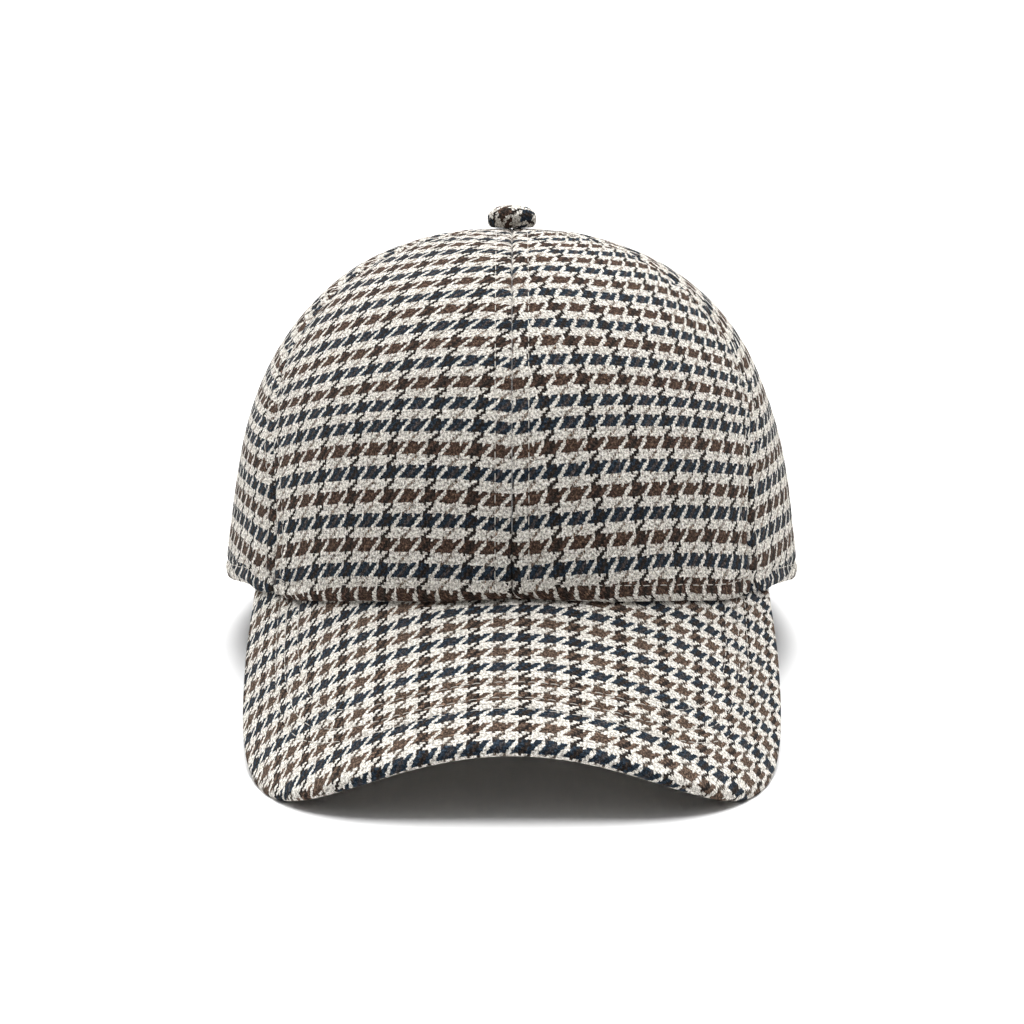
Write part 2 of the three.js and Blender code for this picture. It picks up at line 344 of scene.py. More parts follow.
def rim_height(angle, depth):
    """Height of the rim: on the peak's upper face in front, easing to level behind the peak."""
    nearest = np.clip(angle, -PEAK_HALF_ANGLE, PEAK_HALF_ANGLE)
    x, y = rim_plan(nearest, depth)
    past = ease(np.abs(angle) - PEAK_HALF_ANGLE, 0, RIM_LEVELLING_ANGLE)
    return (peak_surface(x, y) + RIM_GAP) * (1 - past) + REAR_RIM_HEIGHT * past


def dome_power(angle):
    """Power of the dome's curve: the side's, drawn to the front's or back's by the squared cosine."""
    front = np.maximum(np.cos(angle), 0) ** 2
    back = np.maximum(-np.cos(angle), 0) ** 2
    return (DOME_POWER_SIDE + (DOME_POWER_FRONT - DOME_POWER_SIDE) * front
            + (DOME_POWER_BACK - DOME_POWER_SIDE) * back)


def crown_point(angle, lift, depth):
    """Superellipse dome: the rim's ellipse shrinks with cos(lift)^p as the height grows with sin(lift)^p."""
    power = 2 / dome_power(angle)
    out = np.cos(lift) ** power
    up = np.sin(lift) ** power
    x, y = rim_plan(angle, depth)
    foot = rim_height(angle, depth) + HEM_ROUNDING
    z = foot + (CROWN_HEIGHT - depth - foot) * up
    return np.stack([x * out, y * out + CROWN_APEX_SET_BACK * (1 - out), z], -1)


def seam_angle(seam, lift):
    """The seam's rim angle low down, easing to its top angle as it climbs."""
    drift = ease(np.degrees(lift), seam["drift_from"], seam["drift_to"])
    return np.radians(seam["rim"] + (seam["top"] - seam["rim"]) * drift)


def plan_radius(lift):
    """Distance from the dome's axis at a lift."""
    return CROWN_HALF_WIDTH * np.cos(lift) ** (2 / DOME_POWER_SIDE)


def arc_lengths(points, axis):
    """Running length along one axis of a grid of points, from 0."""
    steps = np.linalg.norm(np.diff(points, axis=axis), axis=-1)
    first = np.zeros_like(np.take(steps, [0], axis=axis))
    return np.concatenate([first, np.cumsum(steps, axis=axis)], axis=axis)


def leaned(points):
    """Points of the cap's frame turned about X by REST_LEAN and moved to where the cap stands."""
    x, y, z = np.moveaxis(points, -1, 0)
    back = y * np.cos(REST_LEAN) + z * np.sin(REST_LEAN) + REST_OFFSET[1]
    height = -y * np.sin(REST_LEAN) + z * np.cos(REST_LEAN) + REST_OFFSET[2]
    return np.stack([x, back, height], -1)


def rest(points):
    """Leans points of the cloth back onto the floor, presses flat what lies below it, and gives metres."""
    placed = leaned(points)
    placed[..., 2] = np.maximum(placed[..., 2], 0)
    return placed * MILLIMETRE


def ring_faces(columns, ring):
    """Quads of a tube of closed rings, and strips across both end rings between facing points."""
    index = np.arange(columns * ring).reshape(columns, ring)
    here, there = index[:-1], index[1:]
    around = [here, np.roll(here, -1, 1), np.roll(there, -1, 1), there]
    sides = np.stack(around, -1).reshape(-1, 4)
    near = np.arange(ring // 2 - 1)
    far = ring - 1 - near
    strip = np.stack([far, far - 1, near + 1, near], -1)
    return np.concatenate([sides, index[0][strip], index[-1][strip[:, ::-1]]])


def outward(points, faces):
    """The faces, turned over if the volume inside them is negative."""
    corners = points[faces]
    a, b, c, d = np.moveaxis(corners, 1, 0)
    volume = np.sum(np.cross(b, c) * a) + np.sum(np.cross(c, d) * a)
    return faces if volume > 0 else faces[:, ::-1]


def mesh_piece(name, points, faces, material, cloth=None, smooth_below=SMOOTH_BELOW):
    """A mesh object from whole arrays, in metres, with smooth shading and the cloth's own coordinates."""
    mesh = bpy.data.meshes.new(name)
    mesh.from_pydata(points.tolist(), [], faces if isinstance(faces, list) else faces.tolist())
    mesh.polygons.foreach_set("use_smooth", np.ones(len(faces), bool))
    mesh.set_sharp_from_angle(angle=smooth_below)
    if cloth is not None:
        attribute = mesh.attributes.new("cloth", "FLOAT_VECTOR", "POINT")
        attribute.data.foreach_set("vector", cloth.astype(np.float32).ravel())
    mesh.materials.append(material)
    mesh.update()
    piece = bpy.data.objects.new(name, mesh)
    bpy.context.scene.collection.objects.link(piece)
    return piece


def sample(grid, position, value):
    """Linear look-up down the first axis of a grid, where each column's position reaches the value."""
    upper = np.clip((position < value).sum(0), 1, len(position) - 1)
    column = np.arange(position.shape[1])
    low, high = position[upper - 1, column], position[upper, column]
    share = ((value - low) / (high - low))[:, None]
    return grid[upper - 1, column] * (1 - share) + grid[upper, column] * share


def directions(grid):
    """Unit directions square to a grid of points, from its central differences."""
    square = np.cross(np.gradient(grid, axis=0), np.gradient(grid, axis=1))
    return square / np.linalg.norm(square, axis=-1, keepdims=True)


def along(values, run, at):
    """Each coordinate of a path looked up at running lengths."""
    return np.stack([np.interp(at, run, values[:, k]) for k in range(3)], -1)


def stitch_tubes(path, out):
    """Short tubes down a path: half a cosine wave lifts each middle, and both ends sink into the cloth."""
    run = arc_lengths(path, 0)
    t = np.linspace(-0.5, 0.5, STITCH_STEPS)
    at = (np.arange(int(run[-1] / STITCH_PITCH))[:, None] + 0.5) * STITCH_PITCH + STITCH_LENGTH * t
    ahead = along(path, run, at + STITCH_LOOK_AHEAD) - along(path, run, at - STITCH_LOOK_AHEAD)
    ahead /= np.linalg.norm(ahead, axis=-1, keepdims=True)
    side = np.cross(along(out, run, at), ahead)
    side /= np.linalg.norm(side, axis=-1, keepdims=True)
    up = np.cross(ahead, side)
    rise = STITCH_RISE * np.cos(np.pi * t) - STITCH_SINK
    centre = along(path, run, at) + up * rise[:, None]
    radius = STITCH_RADIUS * np.sqrt(STITCH_END_FULLNESS - (2 * t) ** 4)[:, None, None]
    turn = (2 * np.pi * np.arange(STITCH_SIDES) / STITCH_SIDES)[:, None]
    around = np.cos(turn) * side[:, :, None] + np.sin(turn) * up[:, :, None]
    rings = centre[:, :, None] + radius * around
    index = np.arange(rings[..., 0].size).reshape(rings.shape[:3])
    here, there = index[:, :-1], index[:, 1:]
    tube = np.stack([here, np.roll(here, -1, 2), np.roll(there, -1, 2), there], -1).reshape(-1, 4)
    ends = np.concatenate([index[:, 0, ::-1], index[:, -1]])
    return rings.reshape(-1, 3), tube, ends


def add_stitches(name, lines, material):
    """One piece of thread from several stitch rows, each a path and the directions out of the cloth."""
    points, faces, count = [], [], 0
    for path, out in lines:
        ring_points, tube, ends = stitch_tubes(path, out)
        points.append(ring_points)
        faces += (tube + count).tolist() + (ends + count).tolist()
        count += len(ring_points)
    piece = mesh_piece(name, rest(np.concatenate(points)), faces, material)
    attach(piece, "root")
    return piece


def stitch_pull(run):
    """How hard a stitch row pulls: a cosine wave from STITCH_PULL_LEAST to 1 over each stitch pitch."""
    wave = np.cos(2 * np.pi * run / STITCH_PITCH)
    return (1 + STITCH_PULL_LEAST) / 2 + (1 - STITCH_PULL_LEAST) / 2 * wave


class Panel:
    """One crown panel between two seams: its grid of angles and lifts, and lengths on its smooth face."""

    def __init__(self, name, first_seam, second_seam, grain):
        self.name = name
        self.grain = grain
        top = np.arccos((TOP_HOLE_RADIUS / CROWN_HALF_WIDTH) ** (DOME_POWER_SIDE / 2))
        trial = np.linspace(0, top, PANEL_TRIAL_STEPS)
        middle = (first_seam(trial) + second_seam(trial)) / 2
        climbed = arc_lengths(crown_point(middle, trial, 0.0), 0)
        rows = np.interp(np.linspace(0, climbed[-1], PANEL_ROWS + 1), climbed, trial)
        even = np.linspace(0, 1, PANEL_COLUMNS + 1)
        gathered = (1 - np.cos(np.pi * even)) / 2
        self.share = (PANEL_EVEN_SHARE * even + (1 - PANEL_EVEN_SHARE) * gathered)[:, None]
        self.lift = rows[None, :] + 0 * self.share
        inset = np.arcsin(SEAM_GAP / 2 / plan_radius(self.lift))
        first = first_seam(self.lift) + inset
        second = second_seam(self.lift) - inset
        self.angle = first + (second - first) * self.share
        smooth = crown_point(self.angle, self.lift, 0.0)
        self.across = arc_lengths(smooth, 0)
        self.climb = arc_lengths(smooth, 1)
        self.width = self.across[-1:]
        self.level = self.climb + smooth[:, :1, 2] - rim_height(0.0, 0.0) - HEM_ROUNDING
        self.seam_distance = np.minimum(self.across, self.width - self.across)
        self.fade = ease(plan_radius(self.lift), 0, SEAM_DIP_FADE_RADIUS)
        self.flare = HEM_FLARE * (1 - ease(self.climb, 0, HEM_FLARE_HEIGHT))
        self.depth = self.outer_depth()
        self.outer = crown_point(self.angle, self.lift, self.depth)

    def outer_depth(self):
        """How far the outer face lies inside the plain dome: seam dips, rolled edges, grooves, unevenness."""
        near = self.seam_distance
        dip = SEAM_DIP * bell(near, 0, SEAM_DIP_WIDTH) * self.fade
        radius = np.minimum(SEAM_EDGE_RADIUS, SEAM_EDGE_MOST_SHARE * self.width)
        inside = np.maximum(radius - near, 0)
        roll = radius - np.sqrt(radius**2 - inside**2)
        groove = TOPSTITCH_GROOVE * bell(near, TOPSTITCH_OFFSET, TOPSTITCH_GROOVE_WIDTH)
        puff = TOPSTITCH_PUFF * bell(near, TOPSTITCH_OFFSET / 2, TOPSTITCH_PUFF_WIDTH)
        seam_stitching = (groove * stitch_pull(self.level) - puff) * self.fade
        hem_groove = HEM_GROOVE * bell(self.climb, HEM_STITCH_HEIGHT, HEM_GROOVE_WIDTH)
        hem_puff = HEM_PUFF * bell(self.climb, HEM_STITCH_HEIGHT / 2, HEM_PUFF_WIDTH)
        hem_stitching = hem_groove * stitch_pull(self.across) - hem_puff
        return dip + roll + seam_stitching + hem_stitching - self.flare + self.unevenness()

    def unevenness(self):
        """Sums of waves: short puckers beside the seams and over the hem, and a slow swell between them."""
        near = self.seam_distance
        seed = sum(map(ord, self.name))
        pucker = SEAM_PUCKER["height"] * waves(near * SEAM_PUCKER["squeeze"], self.level,
                                               SEAM_PUCKER["length"], seed)
        pucker *= bell(near, SEAM_PUCKER["middle"], SEAM_PUCKER["width"]) * self.fade
        pucker *= ease(near, 0, SEAM_PUCKER["clear"])
        hem_pucker = HEM_PUCKER["height"] * waves(self.across, self.climb * HEM_PUCKER["squeeze"],
                                                  HEM_PUCKER["length"], seed + 1)
        hem_pucker *= bell(self.climb, HEM_PUCKER["middle"], HEM_PUCKER["width"])
        swell = SWELL["height"] * waves(self.across, self.level, SWELL["length"], seed + 2)
        swell *= ease(near, 0, SWELL["clear"])
        return pucker + hem_pucker + swell

    def ring(self):
        """Points down the outer face, round the hem in a half circle and up the inner face, and their climb."""
        turned = 1 - ease(self.climb, HEM_HEIGHT - HEM_STEP, HEM_HEIGHT + HEM_STEP)
        wall = CLOTH_THICKNESS + (HEM_THICKNESS - CLOTH_THICKNESS) * turned
        dip = SEAM_DIP * bell(self.seam_distance, 0, SEAM_DIP_WIDTH) * self.fade
        inner_depth = dip - self.flare + wall
        inner = crown_point(self.angle, self.lift, inner_depth)
        turn = np.pi * np.arange(1, HEM_STEPS + 1) / (HEM_STEPS + 1)
        outer_foot, inner_foot = self.depth[:, :1], inner_depth[:, :1]
        hem_depth = (outer_foot + inner_foot) / 2 - (inner_foot - outer_foot) / 2 * np.cos(turn)
        hem = crown_point(self.angle[:, :1], 0.0 * turn, hem_depth)
        hem[..., 2] -= HEM_ROUNDING * np.sin(turn)
        hem_climb = -HEM_THICKNESS / 2 * turn + 0 * hem_depth
        inner_climb = -HEM_THICKNESS / 2 * np.pi - self.climb
        points = np.concatenate([self.outer[:, ::-1], hem, inner], 1)
        climb = np.concatenate([self.climb[:, ::-1], hem_climb, inner_climb], 1)
        return points, climb

    def cloth(self, climb):
        """Thread counts of the ring's points, from the ways across and up the panel; the hem curls aside."""
        hem_across = np.repeat(self.across[:, :1], HEM_STEPS, 1)
        across = np.concatenate([self.across[:, ::-1], hem_across, self.across], 1)
        hem_width = np.repeat(self.width[:, :1], HEM_STEPS, 1)
        width = np.concatenate([self.width[:, ::-1], hem_width, self.width], 1)
        level = climb + (self.level - self.climb)[:, :1]
        curl = HEM_CURL * np.clip((HEM_CURL_FROM - climb) / HEM_CURL_FROM, 0, HEM_CURL_END) ** 2
        return self.grain(across - curl, width, level)


def leaning(level):
    """Sideways lean gathered up to a level: its slope eases from low to high."""
    heights = np.linspace(-LEAN_REACH, LEAN_REACH, LEAN_STEPS)
    slope = WARP_LEAN_LOW + WARP_LEAN_HIGH * ease(heights, WARP_LEAN_FROM, WARP_LEAN_TO)
    gathered = np.cumsum(slope) * (heights[1] - heights[0])
    gathered -= np.interp(0, heights, gathered)
    return np.interp(level, heights, gathered)


def front_grain(side, fall, warp_at):
    """Grain of a front panel, measured from the centre seam; side is -1 for left and 1 for right."""
    def grain(across, width, level):
        away = across if side > 0 else width - across
        u = side * (away + leaning(level))
        v = level + away * (ROW_FAN * np.maximum(level - ROW_FAN_FROM, 0) - fall) + ROW_ARCH * away**2
        v = v + ROW_PULL * np.exp(-away / ROW_PULL_REACH)
        return thread_counts(u - warp_at, v - FRONT_ROW)
    return grain


def middle_grain(warp_at, row_at):
    """Grain of a side or back panel, measured from the panel's own middle."""
    def grain(across, width, level):
        u = across - width / 2
        v = level + ROW_ARCH * u**2
        return thread_counts(u - warp_at, v - row_at)
    return grain


def thread_counts(across, up):
    """Millimetres from the middle of a dark warp group and of the first coloured row, as thread counts."""
    warp = across / WARP_SPACING + DARK_WARP_MIDDLE
    weft = up / WEFT_SPACING + COLOURED_WEFT_MIDDLE
    return np.stack([warp, weft, np.zeros_like(warp)], -1)


def stitch_lines(panel):
    """Paths of the topstitching beside both seams and along the hem."""
    out = directions(panel.outer)
    wide = panel.width[0] > STITCH_LEAST_WIDTH
    lines = []
    for at in (TOPSTITCH_OFFSET, panel.width[0] - TOPSTITCH_OFFSET):
        path, way = sample(panel.outer, panel.across, at), sample(out, panel.across, at)
        above = sample(panel.climb[..., None], panel.across, at)[:, 0] > HEM_STITCH_HEIGHT
        lines.append((path[wide & above], way[wide & above]))
    climb = panel.climb.T
    lines.append((sample(panel.outer.transpose(1, 0, 2), climb, HEM_STITCH_HEIGHT),
                  sample(out.transpose(1, 0, 2), climb, HEM_STITCH_HEIGHT)))
    return lines


def add_panel(panel, material, thread):
    """A panel's cloth and stitches."""
    points, climb = panel.ring()
    faces = outward(points.reshape(-1, 3), ring_faces(*points.shape[:2]))
    piece = mesh_piece(panel.name + "_cloth", rest(points).reshape(-1, 3), faces, material,
                       panel.cloth(climb).reshape(-1, 3))
    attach(piece, "root")
    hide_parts(panel.name)
    stitches = add_stitches(panel.name + "_stitches", stitch_lines(panel), thread)
    return piece


# Peak

def peak_outline(turn):
    """Superellipse in plan: forward by cos(turn)^(2/p), sideways by sin(turn)^(2/p), narrower at the back."""
    end_x, end_y = rim_plan(PEAK_HALF_ANGLE, 0.0)
    reach = PEAK_LENGTH + CROWN_HALF_LENGTH + end_y
    forward = reach * np.abs(np.cos(turn)) ** (2 / PEAK_CORNER_POWER)
    side = np.sign(turn) * np.abs(np.sin(turn)) ** (2 / PEAK_CORNER_POWER)
    half_width = end_x + (PEAK_HALF_WIDTH - end_x) * ease(forward, 0, PEAK_SIDE_RUN)
    return np.stack([side * half_width, end_y - forward], -1)


def peak_ring():
    """Plan and level round the peak's thickness, the way left to the edge, and each column's direction."""
    turns = np.linspace(-np.pi / 2, np.pi / 2, PEAK_OUTLINE_STEPS)
    fine = peak_outline(turns)
    run = arc_lengths(fine, 0)
    even = np.linspace(0, run[-1], PEAK_COLUMNS + 1)
    outer = np.stack([np.interp(even, run, fine[:, k]) for k in (0, 1)], -1)
    angle = PEAK_HALF_ANGLE * np.linspace(-1, 1, PEAK_COLUMNS + 1)
    inner = np.stack(rim_plan(angle, PEAK_TUCK), -1)
    length = np.linalg.norm(outer - inner, axis=-1)[:, None]
    radius = PEAK_THICKNESS / 2
    flat = length - radius
    share = np.linspace(0, 1, PEAK_ROWS + 1)[None, :]
    turn = np.pi * np.arange(1, 2 * PEAK_EDGE_STEPS) / (2 * PEAK_EDGE_STEPS)
    face = flat * share
    edge = flat + radius * np.sin(turn)
    distance = np.concatenate([face, edge, face[:, ::-1]], 1)
    edge_level = (1 - np.cos(turn)) / 2 + 0 * edge
    level = np.concatenate([0 * face, edge_level, 0 * face + 1], 1)
    underside = face[:, ::-1] - flat - np.pi * radius
    wrapped = np.concatenate([flat - face, -radius * turn + 0 * edge, underside], 1)
    place = inner[:, None] + (outer - inner)[:, None] * (distance / length)[..., None]
    ahead = (outer - inner) / length
    return place[..., 0], place[..., 1], level, wrapped, ahead


def peak_cloth(x, y, wrapped, ahead):
    """Thread counts: in plan on the upper face, and on round the edge the way the column runs."""
    beyond = np.maximum(-wrapped, 0)
    face_x = np.where(wrapped < 0, x[:, PEAK_ROWS:PEAK_ROWS + 1], x)
    face_y = np.where(wrapped < 0, y[:, PEAK_ROWS:PEAK_ROWS + 1], y)
    end_y = PEAK_THICKNESS / 2 - (CROWN_HALF_LENGTH + PEAK_LENGTH)
    from_edge = (face_y - end_y) * (1 - PEAK_ROW_FAN * face_x**2) / np.cos(PEAK_SLOPE)
    pull = PEAK_EDGE_PULL * np.exp(-np.maximum(wrapped, 0) / PEAK_EDGE_PULL_REACH)
    u = PEAK_WARP_SCALE * face_x * (1 + PEAK_WARP_CUBIC * face_x**2 + PEAK_WARP_FIFTH * face_x**4)
    v = PEAK_WEFT_SCALE * from_edge - PEAK_ROW_AT + pull
    return thread_counts(u + beyond * ahead[:, :1] - PEAK_WARP_AT, v + beyond * ahead[:, 1:])


def peak_relief(x, y, wrapped):
    """Lift of the upper face: grooves along the stitch rows and a slight unevenness."""
    groove = sum(bell(wrapped, row, PEAK_GROOVE_WIDTH) for row in PEAK_STITCH_ROWS)
    middle = 1 - ease(np.abs(x), *PEAK_GROOVE_FADE)
    swell = PEAK_SWELL["height"] * waves(x, y, PEAK_SWELL["length"], PEAK_SWELL["seed"])
    return (swell - PEAK_GROOVE * groove * middle) * ease(wrapped, *PEAK_RELIEF_FROM_EDGE)


def add_peak(material, thread):
    """The peak's cloth: its surface on top, and PEAK_THICKNESS below it along the surface's normal."""
    x, y, level, wrapped, ahead = peak_ring()
    upper = peak_relief(x, y, wrapped)
    points = np.stack([x, y, peak_surface(x, y)], -1)
    points += peak_normal(x) * (upper * (1 - level) - PEAK_THICKNESS * level)[..., None]
    cloth = peak_cloth(x, y, wrapped, ahead)
    faces = outward(points.reshape(-1, 3), ring_faces(*points.shape[:2]))
    piece = mesh_piece("peak_cloth", rest(points).reshape(-1, 3), faces, material, cloth.reshape(-1, 3))
    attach(piece, "root")
    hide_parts("peak")
    face = points[:, :PEAK_ROWS + 1].transpose(1, 0, 2)
    out = peak_normal(x)[:, :PEAK_ROWS + 1].transpose(1, 0, 2)
    reach = -wrapped[:, :PEAK_ROWS + 1].T
    lines = []
    for row in PEAK_STITCH_ROWS:
        path, way = sample(face, reach, -row), sample(out, reach, -row)
        keep = np.abs(path[:, 0]) < PEAK_STITCH_END
        lines.append((path[keep], way[keep]))
    add_stitches("peak_stitches", lines, thread)


# Button

def button_profile():
    """Radius and height: out along the foot, round under the edge, and up a flattened cosine dome."""
    turn = np.linspace(0, np.pi / 2, BUTTON_RINGS)
    dome_radius = BUTTON_RADIUS * np.cos(turn - BUTTON_WIDEST_TURN) ** BUTTON_FLATNESS
    dome_radius = dome_radius * np.cos(turn) ** BUTTON_TOP_FLATNESS
    dome_height = BUTTON_EDGE_HEIGHT + (BUTTON_HEIGHT - BUTTON_EDGE_HEIGHT) * np.sin(turn)
    under = np.linspace(0, np.pi / 2, BUTTON_UNDER_STEPS + 1)[1:-1]
    under_radius = BUTTON_FOOT_RADIUS + (dome_radius[0] - BUTTON_FOOT_RADIUS) * np.sin(under)
    under_height = BUTTON_EDGE_HEIGHT * (1 - np.cos(under))
    foot_radius = BUTTON_FOOT_RADIUS * np.linspace(BUTTON_FOOT_START, 1, BUTTON_FOOT_STEPS)
    radius = np.concatenate([foot_radius, under_radius, dome_radius[:-1]])
    height = np.concatenate([0 * foot_radius, under_height, dome_height[:-1]])
    return radius, height


def add_button(material):
    """The button's profile carried round a circle, and closed at both poles."""
    radius, height = button_profile()
    around = 2 * np.pi * np.arange(BUTTON_SEGMENTS) / BUTTON_SEGMENTS
    r, a = np.meshgrid(radius, around)
    z = np.meshgrid(height, around)[0] + CROWN_HEIGHT + BUTTON_GAP
    points = np.stack([r * np.cos(a), r * np.sin(a) + CROWN_APEX_SET_BACK, z], -1)
    index = np.arange(a.size).reshape(a.shape)
    turned = np.roll(index, -1, 0)
    sides = np.stack([index[:, 1:], turned[:, 1:], turned[:, :-1], index[:, :-1]], -1).reshape(-1, 4)
    foot_fan = np.stack([np.full(BUTTON_SEGMENTS, a.size), turned[:, 0], index[:, 0]], -1)
    tip_fan = np.stack([np.full(BUTTON_SEGMENTS, a.size + 1), index[:, -1], turned[:, -1]], -1)
    faces = sides.tolist() + foot_fan.tolist() + tip_fan.tolist()
    foot = [0, CROWN_APEX_SET_BACK, CROWN_HEIGHT + BUTTON_GAP]
    tip = [0, CROWN_APEX_SET_BACK, CROWN_HEIGHT + BUTTON_GAP + BUTTON_HEIGHT]
    every = np.concatenate([points.reshape(-1, 3), [foot, tip]])
    span = arc_lengths(points, 1)
    out = np.concatenate([(span[:, -1:] - span).ravel(), [span[0, -1], 0]])
    direction = np.concatenate([a.ravel(), [0, 0]])
    sideways, upwards = out * np.sin(direction), out * np.cos(direction)
    cloth = thread_counts(sideways - BUTTON_WARP_AT, upwards - BUTTON_ROW_AT)
    piece = mesh_piece("button_cloth", rest(every), faces, material, cloth, np.pi)
    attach(piece, "root")
    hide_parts("button")


# Materials

class Nodes:
    """Short ways to add shader nodes to a material's tree."""

    def __init__(self, name):
        self.material = bpy.data.materials.new(name)
        self.material.use_nodes = True
        self.tree = self.material.node_tree
        self.shader = self.tree.nodes["Principled BSDF"]

    def put(self, socket, value):
        """Links a socket's value, or sets a colour or a number."""
        if isinstance(value, bpy.types.NodeSocket):
            self.tree.links.new(value, socket)
        elif isinstance(value, tuple) and len(value) == 3 and socket.type == "RGBA":
            socket.default_value = (*value, 1.0)
        else:
            socket.default_value = value

    def math(self, operation, *values):
        node = self.tree.nodes.new("ShaderNodeMath")
        node.operation = operation
        for socket, value in zip(node.inputs, values):
            self.put(socket, value)
        return node.outputs[0]

    def add(self, first, second):
        return self.math("ADD", first, second)

    def subtract(self, first, second):
        return self.math("SUBTRACT", first, second)

    def multiply(self, first, second):
        return self.math("MULTIPLY", first, second)

    def modulo(self, value, length):
        return self.math("FLOORED_MODULO", value, length)

    def whole(self, value, length):
        """How many whole lengths the value holds."""
        return self.math("FLOOR", self.math("DIVIDE", value, length))

    def either(self, share, first, second):
        """The first value where share is 1, and the second where it is 0."""
        return self.add(self.multiply(first, share), self.multiply(second, self.subtract(1.0, share)))

    def noise(self, vector, scale, detail=2.0, rough=0.5):
        node = self.tree.nodes.new("ShaderNodeTexNoise")
        self.put(node.inputs["Vector"], vector)
        self.put(node.inputs["Scale"], scale)
        self.put(node.inputs["Detail"], detail)
        self.put(node.inputs["Roughness"], rough)
        return node.outputs["Fac"]

    def swing(self, vector, *settings):
        """Noise about zero instead of about a half."""
        return self.subtract(self.noise(vector, *settings), 0.5)

    def chance(self, value):
        """A number from 0 to 1 that belongs to the value."""
        node = self.tree.nodes.new("ShaderNodeTexWhiteNoise")
        node.noise_dimensions = "1D"
        self.put(node.inputs["W"], value)
        return node.outputs["Value"]

    def combine(self, x, y, z=0.0):
        node = self.tree.nodes.new("ShaderNodeCombineXYZ")
        for socket, value in zip(node.inputs, (x, y, z)):
            self.put(socket, value)
        return node.outputs[0]

    def mix(self, share, low, high, blend="MIX"):
        """Blends two colours."""
        node = self.tree.nodes.new("ShaderNodeMix")
        node.data_type = "RGBA"
        node.blend_type = blend
        self.put(node.inputs["Factor"], share)
        self.put(node.inputs["A"], low)
        self.put(node.inputs["B"], high)
        return next(socket for socket in node.outputs if socket.type == "RGBA")

    def range(self, value, low, high, to_low, to_high):
        """Carries a value's range over to another, and holds it at both ends."""
        node = self.tree.nodes.new("ShaderNodeMapRange")
        for socket, given in zip(node.inputs, (value, low, high, to_low, to_high)):
            self.put(socket, given)
        return node.outputs[0]

    def finish(self, roughness, specular):
        """Sets how matt the surface is."""
        self.shader.inputs["Roughness"].default_value = roughness
        self.shader.inputs["Specular IOR Level"].default_value = specular


def uneven_count(n, count, place, wander):
    """A thread count moved by slow noise, and by quick noise that frays the groups' edges."""
    slow = n.multiply(n.swing(place, *WANDER_NOISE), wander)
    quick = n.multiply(n.swing(place, *FRAY_NOISE), FRAY)
    return n.add(count, n.add(slow, quick))


def float_bar(n, thread, run):
    """Height of a float: half a circle across its thread, and half a sine wave along its run."""
    across = n.subtract(n.multiply(n.math("FRACT", thread), 2.0), 1.0)
    rounded = n.math("SQRT", n.subtract(1.0, n.multiply(across, across)))
    wave = n.math("MAXIMUM", n.math("SINE", n.multiply(run, np.pi / 2)), 0.0)
    return n.multiply(rounded, n.add(FLOAT_FOOT, n.multiply(wave, 1 - FLOAT_FOOT)))


